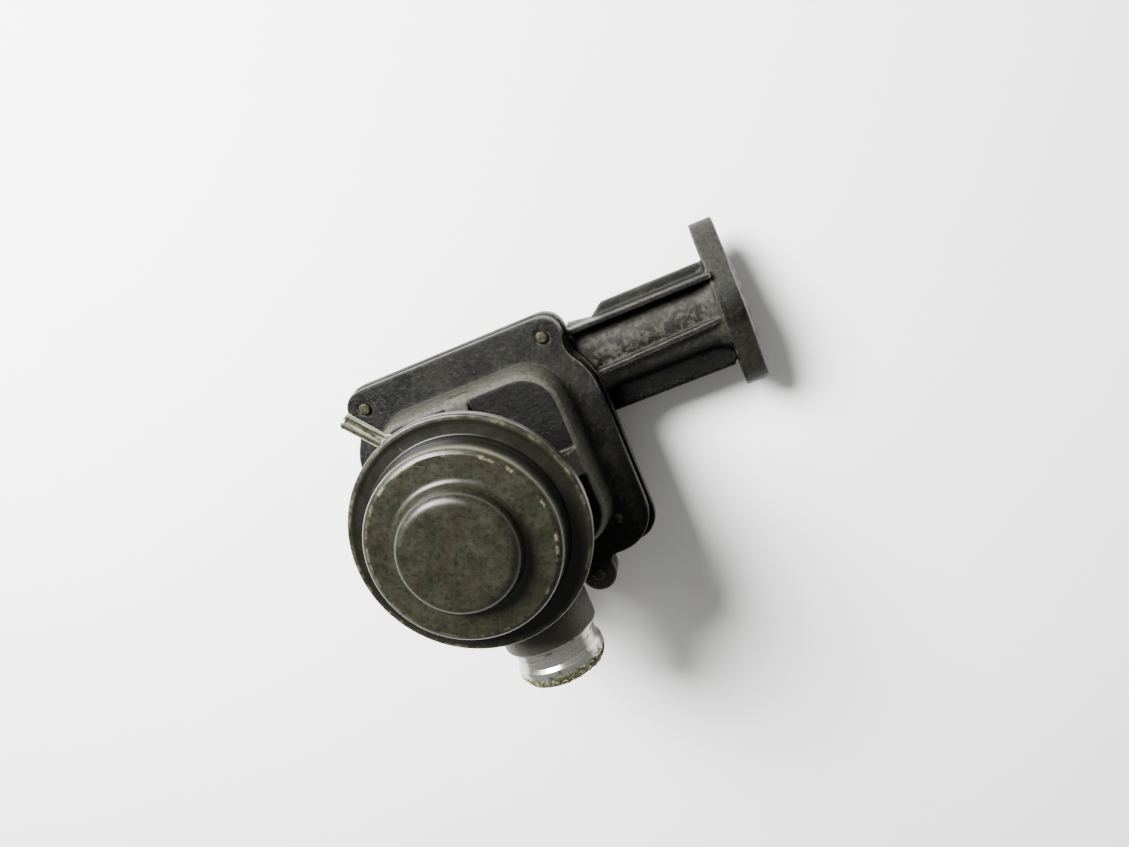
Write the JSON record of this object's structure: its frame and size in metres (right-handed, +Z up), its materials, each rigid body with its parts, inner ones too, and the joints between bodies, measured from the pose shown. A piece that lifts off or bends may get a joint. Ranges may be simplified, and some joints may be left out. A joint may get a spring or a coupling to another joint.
{
  "type": "vacuum-operated secondary air valve",
  "caption": "Vacuum-operated air shut-off valve: crimped diaphragm capsule on a die-cast body with a hose stub, reed check valve and a flanged outlet arm.",
  "frame": {"origin": "centre of the outlet port on the flange's raised face", "axes": "+X out of the outlet port, +Z up along the capsule axis, the hose stub points to -Y"},
  "size_m": [0.1315, 0.1086, 0.0948],
  "materials": {
    "capsule": "aged yellow-green passivated sheet steel, stained and scratched",
    "cast_alloy": "die-cast, stained dark grey, brighter on worn edges",
    "gasket": "pressed fibre, dull black",
    "rubber": "moulded, fabric backed",
    "zinc_steel": "zinc plated",
    "screw_steel": "yellow passivated, dulled",
    "spring_steel": "drawn and polished",
    "steel": "turned",
    "bronze": "sintered",
    "plate_alloy": "milled"
  },
  "bodies": {
    "housing": {"outlet_housing": "cast_alloy", "inlet_cover": "cast_alloy", "cover_gasket": "gasket", "cover_screws": "screw_steel", "cover_washers": "zinc_steel", "capsule_lower_shell": "capsule", "capsule_upper_shell": "capsule", "capsule_gasket": "gasket", "capsule_screws": "zinc_steel", "vacuum_nipple": "capsule", "diaphragm": "rubber", "return_spring": "spring_steel", "stem_seal": "rubber", "seal_retainer": "zinc_steel", "guide_bush": "bronze", "valve_seat_ring": "bronze", "reed_plate": "plate_alloy", "reed_plate_screws": "zinc_steel", "reed_stop_plate": "steel", "reed_rivets": "steel"},
    "valve_rod": {"valve_stem": "steel", "diaphragm_upper_plate": "zinc_steel", "diaphragm_lower_plate": "zinc_steel", "stem_nut": "zinc_steel", "disc_seal": "rubber", "valve_disc": "steel", "disc_clip": "spring_steel"},
    "reed_1": {"reed_petal_1": "spring_steel"},
    "reed_2": {"reed_petal_2": "spring_steel"},
    "reed_3": {"reed_petal_3": "spring_steel"},
    "reed_4": {"reed_petal_4": "spring_steel"}
  },
  "joints": [
    {"name": "valve_rod_slide", "type": "slide", "parent": "housing", "child": "valve_rod", "axis": [0, 0, -1], "range_m": [0, 0.0035], "stiffness_N_per_m": 1500, "springref_m": -0.006, "deforming": ["return_spring", "diaphragm"]},
    {"name": "reed_1_flex", "type": "hinge", "parent": "housing", "child": "reed_1", "pos_m": [-0.0807, -0.0188, 0.00912], "axis": [-1, 0, 0], "range_deg": [0, 16], "stiffness_Nm_per_rad": 0.02},
    {"name": "reed_2_flex", "type": "hinge", "parent": "housing", "child": "reed_2", "pos_m": [-0.0997, -0.0188, 0.00912], "axis": [-1, 0, 0], "range_deg": [0, 16], "stiffness_Nm_per_rad": 0.02},
    {"name": "reed_3_flex", "type": "hinge", "parent": "housing", "child": "reed_3", "pos_m": [-0.0807, -0.0252, 0.00912], "axis": [1, 0, 0], "range_deg": [0, 16], "stiffness_Nm_per_rad": 0.02},
    {"name": "reed_4_flex", "type": "hinge", "parent": "housing", "child": "reed_4", "pos_m": [-0.0997, -0.0252, 0.00912], "axis": [1, 0, 0], "range_deg": [0, 16], "stiffness_Nm_per_rad": 0.02}
  ]
}
